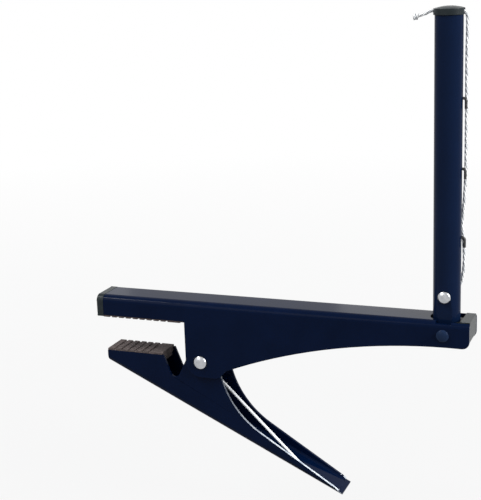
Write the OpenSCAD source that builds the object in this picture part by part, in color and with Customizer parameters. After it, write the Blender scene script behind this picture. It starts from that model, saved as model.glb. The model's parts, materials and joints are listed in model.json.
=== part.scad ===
// Table tennis net clamp: a spring lever clamp with a net post on its outer end.
// Millimetres. x = 0 is the stop edge that meets the edge of the table, y = 0 is
// mid-width of the arm, z = 0 is the top of the table. +X runs out to the post, +Z up.

/* [Table and jaws] */
// Thickness of the table top that the jaws hold in the drawn pose
table_t = 18; // [14:0.5:26]
// How far the jaws reach over the table
jaw_len = 46; // [36:1:60]
// How far each rubber pad stands proud of the pressed steel
pad_proud = 1; // [0.6:0.1:1.6]
// Depth of each rubber pad between its two cheeks
pad_depth = 4; // [3:0.2:5]
// Distance between the grip grooves across each pad
groove_pitch = 4; // [3:0.5:6]
// Width of a grip groove
groove_w = 1.2; // [0.6:0.1:1.6]
// Depth of a grip groove
groove_depth = 0.5; // [0.3:0.1:0.6]
// How far a pad's head stays inside the outside of its channel, on each side
pad_inset = 0.3; // [0.2:0.1:0.6]
// Distance from the upper pad's head to the stop edge
pad_stop_gap = 2.3; // [2.1:0.1:4]

/* [Arm] */
// Width over the outside of the arm
arm_w = 20; // [18:0.5:26]
// Sheet thickness of the arm
arm_sheet = 1.5; // [1:0.1:2]
// Outside radius of the arm's two long bends
arm_bend_r = 3.5; // [2.5:0.5:4.5]
// Height of the arm's top face above the table
arm_top = 11.6; // [10:0.2:15]
// Distance from the stop edge to the arm's outer end
arm_reach = 145.4; // [125:0.2:180]
// Radius of the long sweep under the arm
sweep_r = 300; // [240:5:400]
// Distance from the outer end back to the lowest slope of that sweep
sweep_back = 8.4; // [4:0.2:16]
// Level of the arm's lower edge at its outer end, above the table
tail_low = -0.9; // [-3:0.1:0]
// Radius of the lower outer corner
tail_corner_r = 3.3; // [2:0.1:5]
// Thickness of the moulded cap's flange on the jaw end
cap_t = 3.6; // [2:0.2:6]
// How far that flange stands proud of the arm all round
cap_proud = 0.1; // [0:0.05:0.3]
// Length of the cap's tongue inside the arm
tongue_len = 7; // [5:0.5:10]

/* [Pivot] */
// Distance from the stop edge out to the pivot
pivot_x = 8.2; // [8.2:0.1:12]
// Distance of the pivot below the underside of the table
pivot_drop = 2.2; // [1.5:0.1:4]
// Diameter of the pivot rivet
pivot_d = 5; // [4:0.5:5]
// Diameter of the pivot rivet's heads
pivot_head_d = 7.2; // [7:0.2:9]
// Height of the pivot rivet's heads
pivot_head_h = 1.8; // [1.2:0.1:2.5]
// Radius of the arm's round lobe at the pivot
arm_lobe_r = 8.2; // [8:0.1:8.2]
// Radius of the lever's round lobe at the pivot
lever_lobe_r = 8; // [7.4:0.1:8]
// Radial running clearance between the rivet and what turns on it
run_gap = 0.05; // [0.03:0.01:0.08]
// Side clearance of the washers and of other loosely fitted pieces
side_gap = 0.05; // [0.03:0.01:0.1]
// Thickness of a washer between lever and arm
washer_t = 0.4; // [0.3:0.1:0.8]
// Diameter of those washers
washer_d = 12; // [10:0.5:14]
// Outside diameter of the spacer sleeve inside the spring
sleeve_d = 8; // [7.4:0.1:8]

/* [Lever] */
// Sheet thickness of the lever
lever_sheet = 1.5; // [1:0.1:2]
// Outside radius of the lever's two long bends
lever_bend_r = 3; // [2.2:0.2:4]
// Distance from the pivot to the outside of the lever's web
web_drop = 27.5; // [25:0.5:34]
// Angle of the handle below level
web_angle = 25.25; // [22:0.25:28]
// Length of the handle from the pivot to its tip, along the web
handle_len = 94.2; // [85:0.1:115]
// Radius of the scoop in the upper edge of the lever's cheeks
scoop_r = 47; // [44:0.5:50]
// Angle below level at which the scoop runs out to the straight edge
scoop_end_angle = 32.1; // [30:0.1:34]
// Radius of the rounded nose at the tip of each cheek
nose_r = 6; // [4:0.5:8]
// Radius of the round bottom of the notch between jaw and lobe
notch_r = 2.6; // [2:0.2:3]

/* [Spring] */
// Wire diameter of the torsion spring
wire_d = 1.5; // [1.2:0.1:1.6]
// Mean radius of the spring's coil
coil_r = 5.5; // [5.5:0.1:6]
// Least gap asked between two neighbouring turns
turn_gap = 0.44; // [0.42:0.01:0.6]
// Where the coil ends behind the arm's mid-width
coil_back = 2.8; // [2.8:0.1:4]
// Where the spring presses on the lever's web, out from the stop edge
lever_leg_x = 59; // [45:1:70]
// Where the spring presses under the arm, out from the stop edge
arm_leg_x = 45; // [35:1:60]
// Distance from the lever's front cheek to the leg on its web
leg_side = 2.6; // [2:0.1:3]

/* [Post] */
// Distance from the outer end of the arm back to the post's axis
post_back = 12.6; // [12:0.1:16]
// Outside diameter of the post
post_d = 13; // [11:0.5:13]
// Wall of the post
post_wall = 1.2; // [0.8:0.1:1.6]
// Height of the post's upper end above the table
post_top = 152.25; // [130:0.25:185]
// Depth to which the foot of the post is pressed flat, front and back
press_depth = 1.05; // [0.6:0.05:1.3]
// Height above the table up to which the foot is pressed fully flat
press_top = 17; // [14:0.5:19]
// Height over which the flat runs out to the round tube
press_runout = 10; // [6:0.5:12]
// Diameter of the post's cap
post_cap_d = 14.2; // [13.6:0.1:15]
// Height of the cap's rim
post_cap_rim = 2.8; // [2:0.1:4]
// Height of the dome on the cap
post_cap_dome = 1.1; // [0.6:0.1:2]
// Height of the cord's groove above the cap's foot
groove_rise = 1.8; // [1.6:0.1:2.2]
// Length of the cap's spigot inside the post
spigot_len = 8; // [5:0.5:12]
// Length of the dowel that stiffens the foot
dowel_len = 28; // [26:0.5:32]
// Height of the bright rivet through the post
post_rivet_z = 22.5; // [20:0.5:24]
// Height of the painted rivet through arm and post
foot_rivet_z = 4.8; // [4.4:0.1:5.5]
// Diameter of both rivets through the post
post_rivet_d = 3.6; // [3:0.1:4]
// Diameter of the heads of both rivets through the post
post_head_d = 6.1; // [5.6:0.1:7]
// Height of the heads of both rivets through the post
post_head_h = 1.4; // [1:0.1:2]
// Clearance round the post in the arm's top
post_opening_gap = 1.1; // [0.8:0.1:1.3]
// Length of the moulded plug in the arm's outer end
plug_len = 24; // [22.5:0.5:30]

/* [Cord and hooks] */
// Diameter of the tension cord
cord_d = 1.5; // [1:0.1:1.6]
// Clearance of the cord in its groove over the cap
groove_gap = 0.2; // [0.1:0.05:0.4]
// Wire diameter of a net hook
hook_d = 1.35; // [1:0.05:1.5]
// Distance from the post's surface to the middle of a hook's hanging end
hook_stand = 1.5; // [1.3:0.1:2]
// Length of a hook's hanging end
hook_drop = 3.6; // [3:0.2:5]
// Height of the highest net hook
hook_high = 115; // [105:1:125]
// Distance from one net hook down to the next
hook_step = 32.3; // [30:0.1:34]
// Diameter of the stopper knot on the cord's upper end
knot_d = 3; // [2.4:0.1:4]
// Length of that knot
knot_len = 2.4; // [2:0.1:4]

/* [Hidden] */
$fn = 96;

paint = [0.07, 0.12, 0.23];
plastic = [0.23, 0.25, 0.23];
rubber = [0.2, 0.17, 0.15];
bright = [0.78, 0.79, 0.8];
black = [0.05, 0.05, 0.05];
thread = [0.8, 0.8, 0.78];

// A length past everything, how far a cut runs past a face, the clearance of a moulded piece
// in its seat, and that of faces that meet along a line
big = 400;
over = 1;
seat_gap = 0.1;
line_gap = 0.01;

// Arm
arm_inner = arm_w / 2 - arm_sheet;
web_under = arm_top - arm_sheet;
pivot_z = -table_t - pivot_drop;
heel_z = pivot_z - arm_lobe_r;
heel_r = 3;
heel_x = pivot_x + arm_lobe_r;
heel_run = 10;
sweep_x = arm_reach - sweep_back;
foot_notch_lip = 0.8;
foot_notch_deep = 1.3;
cap_corner_r = 1;

// Pivot
rivet_r = pivot_d / 2;
lever_w = 2 * (arm_inner - washer_t - 2 * side_gap);
lever_inner = lever_w / 2 - lever_sheet;

// Lever, measured from the pivot. The jaw ends at its heel, and a notch with a round bottom
// parts it from the lobe. The neck leads from the lobe to the scoop.
jaw_tip_x = -jaw_len - pivot_x;
jaw_top_z = pivot_drop - pad_proud;
jaw_heel_x = -21.7;
notch_c = [-15.6, -7.4];
notch_wall_r = lever_lobe_r - 3 * line_gap;
notch_rise = 10;
notch_turn = atan2(notch_c[1], notch_c[0])
    - acos((notch_wall_r + notch_r) / norm(notch_c));
notch_dir = [cos(notch_turn), sin(notch_turn)];
heel_to_notch = [jaw_heel_x, jaw_top_z] - notch_c;
notch_left = atan2(heel_to_notch[1], heel_to_notch[0]) + acos(notch_r / norm(heel_to_notch));
scoop_c = [55.9, 3.7];
scoop_end = scoop_c + scoop_r * [-sin(scoop_end_angle), -cos(scoop_end_angle)];
neck = [9.7, -5];
lip_h = 2.6;

// Spring, measured from the pivot in side view
wire_r = wire_d / 2;
coil_front = lever_inner - wire_r - 4 * side_gap;
coil_span = coil_front + coil_back;
whole_turns = floor(coil_span / (wire_d + turn_gap) - 0.3);
lever_leg_y = lever_inner - leg_side;
leg_seat = wire_r + seat_gap;
lever_leg_end = [lever_leg_x - pivot_x,
    web_line(lever_leg_x - pivot_x) + (lever_sheet + leg_seat) / cos(web_angle)];
arm_leg_end = [arm_leg_x - pivot_x, web_under - leg_seat - pivot_z];
lever_leg_turn = atan2(lever_leg_end[1], lever_leg_end[0]) - acos(coil_r / norm(lever_leg_end));
arm_leg_turn = atan2(arm_leg_end[1], arm_leg_end[0]) + acos(coil_r / norm(arm_leg_end));
coil_turn = 360 * whole_turns + lever_leg_turn + 360 - arm_leg_turn;
rings_per_turn = 8;
wire_sides = 6;

// Post
post_x = arm_reach - post_back;
post_r = post_d / 2;
bore_r = post_r - post_wall;
foot_low = 0.6;
flat_y = post_r - press_depth;
plug_floor = -0.5;
rivet_hole_r = post_rivet_d / 2 + side_gap;
front_seat = post_face(post_rivet_z + post_head_d / 2) + line_gap;
loop_seat = post_r + seat_gap;
loop_r = post_rivet_d / 2 + seat_gap + cord_d / 2;
back_seat = loop_seat + cord_d + seat_gap;
opening_r = post_r + post_opening_gap;
slot_into_bend = 1.6;
tail_slot_w = arm_w - 2 * (arm_bend_r - slot_into_bend);
plug_lip_x = post_x + opening_r + 4 * seat_gap;

// Cap and cord
rim_cut_in = 0.4;
cord_r = cord_d / 2;
groove_r = cord_r + groove_gap;
cord_sides = 8;
cord_steps = 3;

// The cord's route, from its upper knot over the cap, down the post and round behind it.
// Across and along are measured from the post's axis, heights from the table.
cord_route = [[-13.4, 0, 152.0], [-11, 0, 152.7], [-8.7, 0, 153.7], [-6.8, 0, 154.1],
    [-2, 0, 154.05], [2, 0, 154.05], [5.4, 0, 154.05], [7.0, 0.1, 153.5], [7.9, 0.3, 152.2],
    [8.1, 0.6, 150], [8.0, 1.3, 144], [7.8, 1.8, 136], [7.8, 1.8, 124], [7.9, 1.8, 112],
    [7.9, 1.8, 100], [7.9, 1.8, 88], [7.8, 1.8, 78], [7.3, 2.4, 69], [6.3, 4.2, 60],
    [6.0, 4.6, 55], [6.6, 3.8, 50], [7.3, 2.8, 44], [7.5, 2.5, 38], [6.6, 3.8, 31],
    [5.2, 5.6, 26.4], [3.4, 7.0, 24.3]];

// Height of the outside of the lever's web at a distance out from the pivot.
function web_line(x) = -web_drop / cos(web_angle) - tan(web_angle) * x;

// Distance from the post's mid-plane to its front face at a height, pressed or round.
function post_face(z) = flat_y + press_depth * max(0, min(1, (z - press_top) / press_runout));

// Width of the flat where the foot is pressed.
function flat_width() = 2 * sqrt(post_r * post_r - flat_y * flat_y);

function catmull(a, b, c, d, t) = 0.5 * (2 * b + (c - a) * t + (2 * a - 5 * b + 4 * c - d) * t * t
    + (3 * b - a - 3 * c + d) * t * t * t);

function unit(v) = v / norm(v);

// Points of a smooth curve through all given points, the given number of steps apart.
function smooth(pts, steps) = [for (i = [0 : len(pts) - 2], s = [0 : steps - 1])
    catmull(pts[max(i - 1, 0)], pts[i], pts[i + 1], pts[min(i + 2, len(pts) - 1)], s / steps),
    pts[len(pts) - 1]];

// Rings of points round a path. side holds, for each point, a direction across the path.
function rings(path, side, r, sides) = [for (i = [0 : len(path) - 1])
    let (along = unit(path[min(i + 1, len(path) - 1)] - path[max(i - 1, 0)]),
        up = unit(cross(along, side[i])), out = cross(up, along))
    for (k = [0 : sides - 1])
        path[i] + r * (cos(360 * k / sides) * out + sin(360 * k / sides) * up)];

// A closed tube along a path.
module tube(path, side, r, sides) {
    n = len(path);
    walls = [for (i = [0 : n - 2], k = [0 : sides - 1])
        let (a = i * sides + k, b = i * sides + (k + 1) % sides)
        each [[a, a + sides, b + sides], [a, b + sides, b]]];
    ends = [[for (k = [0 : sides - 1]) k],
        [for (k = [sides - 1 : -1 : 0]) (n - 1) * sides + k]];
    polyhedron(points = rings(path, side, r, sides), faces = concat(walls, ends));
}

// Turns a side view, drawn in x and z, into a slab of the given width across the arm.
module slab(width) {
    rotate([90, 0, 0]) linear_extrude(width, center = true) children();
}

// A cylinder along Y, from one y to another, at a place in side view.
module cross_pin(x, z, r, y0, y1) {
    translate([x, y1, z]) rotate([90, 0, 0]) cylinder(r = r, h = y1 - y0);
}

// A domed rivet head standing on the plane y = 0 and pointing towards -Y.
module rivet_head(d, h) {
    r_dome = (d * d / 4 + h * h) / (2 * h);
    rotate([90, 0, 0]) intersection() {
        cylinder(d = d, h = h);
        translate([0, 0, h - r_dome]) sphere(r = r_dome);
    }
}

// A whole rivet along Y, with its heads on y0 (front) and y1 (back).
module rivet(x, z, r, y0, y1, head_d, head_h) {
    cross_pin(x, z, r, y0, y1);
    translate([x, y0, z]) rivet_head(head_d, head_h);
    translate([x, y1, z]) mirror([0, 1, 0]) rivet_head(head_d, head_h);
}

// A rectangle below y = 0 with its two upper corners rounded.
module round_top(w, r, depth) {
    translate([-w / 2, -depth]) square([w, depth - r]);
    translate([-w / 2 + r, -depth]) square([w - 2 * r, depth]);
    for (s = [-1, 1]) translate([s * (w / 2 - r), -r]) circle(r = r);
}

// The section of a pressed channel, open downwards, with its top on y = 0.
module channel_section(w, sheet, r, depth) {
    difference() {
        round_top(w, r, depth);
        translate([0, -sheet]) round_top(w - 2 * sheet, r - sheet, depth);
    }
}

module along_x(length) {
    rotate([90, 0, 90]) linear_extrude(length) children();
}

// The arm's outline in side view.
module arm_outline() {
    slope = [sin(45), -cos(45)];
    translate([-jaw_len, pad_proud]) square([jaw_len + over, arm_top - pad_proud]);
    difference() {
        translate([0, heel_z]) square([arm_reach, arm_top - heel_z]);
        translate([sweep_x, tail_low - sweep_r]) circle(r = sweep_r, $fn = 360);
        translate([-over, heel_z - over]) square([pivot_x + over, pivot_z - heel_z + over]);
        difference() {
            translate([arm_reach - tail_corner_r, tail_low - over])
                square([tail_corner_r + over, tail_corner_r + over]);
            translate([arm_reach - tail_corner_r, tail_low + tail_corner_r])
                circle(r = tail_corner_r);
        }
    }
    translate([pivot_x, pivot_z]) circle(r = arm_lobe_r);
    translate([heel_x, heel_z + heel_r]) circle(r = heel_r);
    polygon([[pivot_x, pivot_z], [pivot_x, heel_z], [heel_x, heel_z],
        [heel_x, heel_z + heel_r] + heel_r * slope,
        [heel_x, heel_z + heel_r] + heel_r * slope + heel_run * [1, 1],
        [heel_x, pivot_z]]);
}

module arm_channel() {
    color(paint) difference() {
        intersection() {
            translate([-jaw_len, 0, arm_top]) along_x(jaw_len + arm_reach)
                channel_section(arm_w, arm_sheet, arm_bend_r, arm_top - heel_z + over);
            slab(arm_w + 2 * over) arm_outline();
        }
        cross_pin(pivot_x, pivot_z, rivet_r + run_gap, -arm_w, arm_w);
        cross_pin(post_x, foot_rivet_z, rivet_hole_r, -arm_w, arm_w);
        translate([post_x, 0, foot_low]) cylinder(r = opening_r, h = arm_top);
        translate([post_x - flat_width() / 2, -arm_w / 2 + foot_notch_lip,
            arm_top - foot_notch_deep]) cube([flat_width(), arm_w / 2, foot_notch_deep + over]);
        translate([post_x + opening_r / 2, -tail_slot_w / 2, web_under - over])
            cube([arm_reach, tail_slot_w, arm_sheet + 2 * over]);
    }
}

module arm_end_cap() {
    tongue_low = pad_proud + pad_depth + side_gap;
    flange_w = arm_w + 2 * cap_proud;
    color(plastic) {
        translate([-jaw_len - cap_t, 0, arm_top + cap_proud]) along_x(cap_t) intersection() {
            round_top(flange_w, arm_bend_r, arm_top);
            translate([0, -arm_top]) mirror([0, 1]) round_top(flange_w, cap_corner_r, arm_top);
        }
        translate([-jaw_len, -arm_inner + seat_gap, tongue_low])
            cube([tongue_len, 2 * (arm_inner - seat_gap), web_under - arm_bend_r - tongue_low
                + arm_sheet]);
        translate([-jaw_len, -arm_inner + arm_bend_r, tongue_low])
            cube([tongue_len, 2 * (arm_inner - arm_bend_r), web_under - side_gap - tongue_low]);
    }
}

// A rubber pad whose gripping face is z = 0, with the cheeks of its channel above that face.
// Its head covers the edges of the cheeks, and its stem fills the channel and clears the bends.
module jaw_pad(x1, head_x1, outer, inner) {
    x0 = -jaw_len + side_gap;
    grooves = floor((head_x1 - x0 - groove_pitch) / groove_pitch);
    head_w = 2 * (outer - pad_inset);
    stem_w = 2 * (inner - side_gap);
    stem_h = pad_proud + pad_depth;
    bend_r = lever_bend_r - lever_sheet + seat_gap;
    difference() {
        union() {
            translate([x0, -head_w / 2, 0]) cube([head_x1 - x0, head_w, pad_proud - side_gap / 2]);
            translate([x0, -stem_w / 2, 0]) cube([x1 - x0, stem_w, stem_h - bend_r]);
            translate([x0, bend_r - stem_w / 2, 0]) cube([x1 - x0, stem_w - 2 * bend_r, stem_h]);
        }
        for (i = [1 : grooves])
            translate([x0 + i * groove_pitch - groove_w / 2, -head_w, -over])
                cube([groove_w, 2 * head_w, over + groove_depth]);
    }
}

module upper_jaw_pad() {
    color(rubber) jaw_pad(pivot_x / 2, -pad_stop_gap, arm_w / 2, arm_inner);
}

module lower_jaw_pad() {
    heel = jaw_heel_x + pivot_x - over;
    color(rubber) translate([0, 0, -table_t]) mirror([0, 0, 1])
        jaw_pad(heel, heel, lever_w / 2, lever_inner);
}

// The lever's cheek in side view, measured from the pivot.
module lever_outline() {
    intersection() {
        difference() {
            union() {
                polygon([[jaw_tip_x, jaw_top_z], [jaw_tip_x, web_line(jaw_tip_x) - over],
                    [handle_len, web_line(handle_len) - 2 * web_drop],
                    scoop_end + handle_len * [cos(scoop_end_angle), -sin(scoop_end_angle)],
                    scoop_end, neck, [0, 0], [0, jaw_top_z]]);
                circle(r = lever_lobe_r);
            }
            translate(scoop_c) circle(r = scoop_r, $fn = 180);
            lever_notch();
        }
        lever_nose();
    }
}

// The notch between the jaw and the lobe: its right wall is tangent to lobe and notch bottom.
module lever_notch() {
    wall_top = notch_wall_r * notch_dir + notch_rise * [notch_dir[1], -notch_dir[0]];
    translate(notch_c) circle(r = notch_r);
    polygon([[jaw_heel_x, jaw_top_z], notch_c + notch_r * [cos(notch_left), sin(notch_left)],
        notch_c, notch_c - notch_r * notch_dir, notch_wall_r * notch_dir, wall_top,
        [jaw_heel_x, jaw_top_z + notch_rise]]);
}

// What the cheeks and web reach along the handle: a round nose above a square web end.
module lever_nose() {
    nose_x = handle_len - nose_r;
    rotate(-web_angle) {
        translate([-big, -big / 2]) square([big + nose_x, big]);
        translate([nose_x, -web_drop + lip_h - nose_r]) circle(r = nose_r);
        translate([0, -web_drop - over]) square([handle_len, lever_sheet + over]);
    }
}

module jaw_lever() {
    color(paint) translate([pivot_x, 0, pivot_z]) difference() {
        intersection() {
            rotate([0, web_angle, 0]) translate([-big / 2, 0, -web_drop]) along_x(big)
                mirror([0, 1]) channel_section(lever_w, lever_sheet, lever_bend_r,
                    web_drop + 2 * lever_lobe_r);
            slab(lever_w + 2 * over) lever_outline();
        }
        cross_pin(0, 0, rivet_r + run_gap, -arm_w, arm_w);
    }
}

module pivot_rivet() {
    color(bright) rivet(pivot_x, pivot_z, rivet_r, -arm_w / 2, arm_w / 2, pivot_head_d,
        pivot_head_h);
}

module spring_sleeve() {
    half = lever_inner - 2 * side_gap;
    color(bright) difference() {
        cross_pin(pivot_x, pivot_z, sleeve_d / 2, -half, half);
        cross_pin(pivot_x, pivot_z, rivet_r + run_gap, -arm_w, arm_w);
    }
}

// A washer between the lever and one cheek of the arm; side is -1 in front and 1 behind.
module pivot_washer(side) {
    y_mid = side * (arm_inner - side_gap - washer_t / 2);
    color(bright) difference() {
        cross_pin(pivot_x, pivot_z, washer_d / 2, y_mid - washer_t / 2, y_mid + washer_t / 2);
        cross_pin(pivot_x, pivot_z, rivet_r + run_gap, -arm_w, arm_w);
    }
}

// A double-legged torsion spring: one leg on the lever's web, a coil, one leg under the arm.
module torsion_spring() {
    steps = ceil(coil_turn / 360 * rings_per_turn);
    turn = [for (i = [0 : steps]) lever_leg_turn - coil_turn * i / steps];
    coil = [for (i = [0 : steps])
        [coil_r * cos(turn[i]), coil_back - coil_span * i / steps, coil_r * sin(turn[i])]];
    lever_end = [lever_leg_end[0], -lever_leg_y, lever_leg_end[1]];
    arm_end = [arm_leg_end[0], -coil_front, arm_leg_end[1]];
    path = concat([lever_end, (lever_end + coil[0]) / 2], coil,
        [(arm_end + coil[steps]) / 2, arm_end]);
    angles = concat([turn[0], turn[0]], turn, [turn[steps], turn[steps]]);
    side = [for (a = angles) [cos(a), 0, sin(a)]];
    echo(spring_turns = coil_turn / 360, least_gap = least_gap(coil) - wire_d);
    color(bright) translate([pivot_x, 0, pivot_z]) tube(path, side, wire_r, wire_sides);
}

// The least distance between points of a coil that are more than half a turn apart.
function least_gap(pts) = min([for (i = [0 : len(pts) - 1], j = [i + rings_per_turn / 2 + 1 : 1
    : len(pts) - 1]) norm(pts[i] - pts[j])]);

// The post's outer or inner shape: a round rod pressed flat at its foot, front and back.
module pressed_rod(r, flat, z0, z1) {
    full = r + over;
    intersection() {
        translate([post_x, 0, z0]) cylinder(r = r, h = z1 - z0);
        translate([post_x - full, 0, 0]) along_x(2 * full) union() {
            polygon([[-flat, z0 - over], [flat, z0 - over], [flat, press_top],
                [flat + press_depth, press_top + press_runout],
                [-flat - press_depth, press_top + press_runout], [-flat, press_top]]);
            translate([-full, press_top + press_runout]) square([2 * full, big]);
        }
    }
}

module post_tube() {
    color(paint) difference() {
        pressed_rod(post_r, flat_y, foot_low, post_top);
        pressed_rod(bore_r, flat_y - post_wall, foot_low - over / 2, post_top + over);
        cross_pin(post_x, foot_rivet_z, rivet_hole_r, -arm_w, arm_w);
        cross_pin(post_x, post_rivet_z, rivet_hole_r, -arm_w, arm_w);
        for (i = [0 : 2]) translate([post_x, 0, hook_high - i * hook_step]) rotate([0, 90, 0])
            cylinder(d = hook_d + 2 * side_gap, h = post_d);
    }
}

module post_foot_dowel() {
    dowel_flat = flat_y - post_wall - side_gap;
    color("tan") difference() {
        intersection() {
            translate([post_x, 0, foot_low]) cylinder(r = bore_r - side_gap, h = dowel_len);
            translate([post_x - post_d, -dowel_flat, 0])
                cube([2 * post_d, 2 * dowel_flat, post_top]);
        }
        cross_pin(post_x, foot_rivet_z, rivet_hole_r, -arm_w, arm_w);
        cross_pin(post_x, post_rivet_z, rivet_hole_r, -arm_w, arm_w);
    }
}

module arm_tail_plug() {
    low_w = 2 * (arm_inner - seat_gap);
    x1 = arm_reach - seat_gap;
    color(plastic) difference() {
        union() {
            translate([arm_reach - plug_len, -low_w / 2, plug_floor]) cube([plug_len - seat_gap,
                low_w, web_under - arm_bend_r + arm_sheet - plug_floor]);
            translate([arm_reach - plug_len, -low_w / 2 + arm_bend_r, plug_floor])
                cube([plug_len - seat_gap, low_w - 2 * arm_bend_r,
                    web_under - side_gap - plug_floor]);
            translate([plug_lip_x, -tail_slot_w / 2 + seat_gap, plug_floor + over])
                cube([x1 - plug_lip_x, tail_slot_w - 2 * seat_gap, arm_top - plug_floor - over]);
        }
        translate([post_x, 0, foot_low]) cylinder(r = post_r + side_gap, h = arm_top);
        cross_pin(post_x, foot_rivet_z, rivet_hole_r, -arm_w, arm_w);
        difference() {
            translate([x1 - tail_corner_r, -arm_w, plug_floor - over])
                cube([tail_corner_r + over, 2 * arm_w, tail_corner_r + over]);
            cross_pin(x1 - tail_corner_r, plug_floor + tail_corner_r, tail_corner_r,
                -arm_w, arm_w);
        }
    }
}

module post_cap() {
    cap_r = post_cap_d / 2;
    dome_r = (cap_r * cap_r + post_cap_dome * post_cap_dome) / (2 * post_cap_dome);
    cap_h = post_cap_rim + post_cap_dome;
    color(plastic) translate([post_x, 0, post_top]) difference() {
        union() {
            intersection() {
                cylinder(r = cap_r, h = cap_h);
                translate([0, 0, cap_h - dome_r]) sphere(r = dome_r, $fn = 180);
            }
            translate([0, 0, -spigot_len]) cylinder(r = bore_r - side_gap, h = spigot_len + over);
        }
        translate([-cap_r - over, 0, groove_rise]) rotate([0, 90, 0])
            cylinder(r = groove_r, h = 2 * (cap_r + over));
        translate([-cap_r - over, -groove_r, groove_rise])
            cube([2 * (cap_r + over), 2 * groove_r, cap_h]);
        translate([post_r - rim_cut_in, -groove_r, 0])
            cube([post_cap_d, 3 * groove_r, cap_h + over]);
    }
}

module post_rivet() {
    color(bright) rivet(post_x, post_rivet_z, post_rivet_d / 2, -front_seat, back_seat,
        post_head_d, post_head_h);
}

module foot_rivet() {
    color(paint) rivet(post_x, foot_rivet_z, post_rivet_d / 2, -arm_w / 2, arm_w / 2,
        post_head_d, post_head_h);
}

// One wire hook, counted from the top: a shank through the wall of the post, a bend and a
// hanging end.
module net_hook(index) {
    bend_r = 1.1;
    head_t = 1.1;
    inside = head_t + 3 * seat_gap;
    reach = post_r + hook_stand;
    color(black) translate([post_x, 0, hook_high - index * hook_step]) {
        translate([bore_r - inside, 0, 0]) rotate([0, 90, 0])
            cylinder(d = hook_d, h = reach - bend_r - bore_r + inside);
        translate([bore_r - inside, 0, 0]) rotate([0, 90, 0])
            cylinder(d = 2 * hook_d, h = head_t);
        translate([reach - bend_r, 0, -bend_r]) rotate([90, 0, 0])
            rotate_extrude(angle = 90) translate([bend_r, 0]) circle(d = hook_d, $fn = 48);
        translate([reach, 0, -bend_r - hook_drop + hook_d / 2])
            cylinder(d = hook_d, h = hook_drop - hook_d / 2);
        translate([reach, 0, -bend_r - hook_drop + hook_d / 2]) sphere(d = hook_d, $fn = 48);
    }
}

module tension_cord() {
    path = smooth([for (p = cord_route) [post_x + p[0], p[1], p[2]]], cord_steps);
    side = [for (p = path) [0, 1, 0]];
    color(thread) tube(path, side, cord_r, cord_sides);
}

// The knot that stops the cord's upper end: a barrel with rounded ends.
module cord_top_knot() {
    start = cord_route[0];
    run = cord_route[1] - start;
    rise = atan2(run[2], run[0]);
    round_r = norm([knot_d, knot_len]) / 2;
    color(thread) translate([post_x + start[0], 0, start[2]]) rotate([0, -90 - rise, 0])
        translate([0, 0, 3 * line_gap]) intersection() {
            cylinder(d = knot_d, h = knot_len);
            translate([0, 0, knot_len / 2]) sphere(r = round_r - seat_gap);
        }
}

// The loop that ties the cord's lower end round the rear neck of the post rivet.
module cord_end_loop() {
    y_mid = (loop_seat + back_seat) / 2;
    color(thread) translate([post_x, y_mid, post_rivet_z]) rotate([90, 0, 0])
        rotate_extrude() translate([loop_r, 0]) circle(d = cord_d, $fn = 24);
}

arm_channel();
arm_end_cap();
arm_tail_plug();
upper_jaw_pad();
post_tube();
post_foot_dowel();
post_cap();
post_rivet();
foot_rivet();
net_hook(0);  // upper_net_hook
net_hook(1);  // middle_net_hook
net_hook(2);  // lower_net_hook
pivot_rivet();
spring_sleeve();
pivot_washer(-1);  // front_washer
pivot_washer(1);  // back_washer
torsion_spring();
tension_cord();
cord_top_knot();
cord_end_loop();
jaw_lever();
lower_jaw_pad();
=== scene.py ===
import json
import math

import bmesh
import bpy
from mathutils import Matrix, Vector
from mathutils.bvhtree import BVHTree


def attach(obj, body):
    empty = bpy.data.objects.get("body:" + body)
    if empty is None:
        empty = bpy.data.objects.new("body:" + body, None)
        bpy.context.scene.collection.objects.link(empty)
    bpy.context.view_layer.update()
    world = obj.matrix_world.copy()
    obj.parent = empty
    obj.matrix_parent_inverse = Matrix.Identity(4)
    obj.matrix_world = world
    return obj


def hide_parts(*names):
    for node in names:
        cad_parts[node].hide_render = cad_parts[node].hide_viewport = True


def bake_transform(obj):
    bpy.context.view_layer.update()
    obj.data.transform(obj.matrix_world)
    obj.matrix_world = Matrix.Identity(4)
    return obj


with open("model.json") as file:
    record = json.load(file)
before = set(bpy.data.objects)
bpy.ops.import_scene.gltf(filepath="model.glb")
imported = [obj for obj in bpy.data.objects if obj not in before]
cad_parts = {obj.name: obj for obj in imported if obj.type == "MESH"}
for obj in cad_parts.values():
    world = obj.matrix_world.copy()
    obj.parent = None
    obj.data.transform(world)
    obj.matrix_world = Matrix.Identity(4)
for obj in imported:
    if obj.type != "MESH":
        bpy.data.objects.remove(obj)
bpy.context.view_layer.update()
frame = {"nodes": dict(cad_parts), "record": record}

# Sizes are written in millimetres and turned into metres where a mesh is made. x = 0 is the
# stop edge of the arm, y = 0 its mid-width and z = 0 the top of the table.
MM = 0.001

POST_X = 132.8
POST_R = 6.5
POST_WALL = 1.2
POST_LOW = 0.6
POST_TOP = 152.25
PRESSED_FLAT = 5.45
PRESS_TOP = 17.0
PRESS_SLOPE = 0.105
PRESS_RUNOUT = 14.0
PIVOT = (8.2, -20.2)
ARM_HALF = 10.0


def placed(name, data):
    """A new object in the scene, at the origin."""
    made = bpy.data.objects.new(name, data)
    bpy.context.scene.collection.objects.link(made)
    return made


# ---------------------------------------------------------------- camera

LENS = 83.8
CAMERA_PLACE = (0.2389, -0.5260, 0.1789)
YAW, PITCH, ROLL = (math.radians(angle) for angle in (21.79, 13.97, -2.07))


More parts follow.
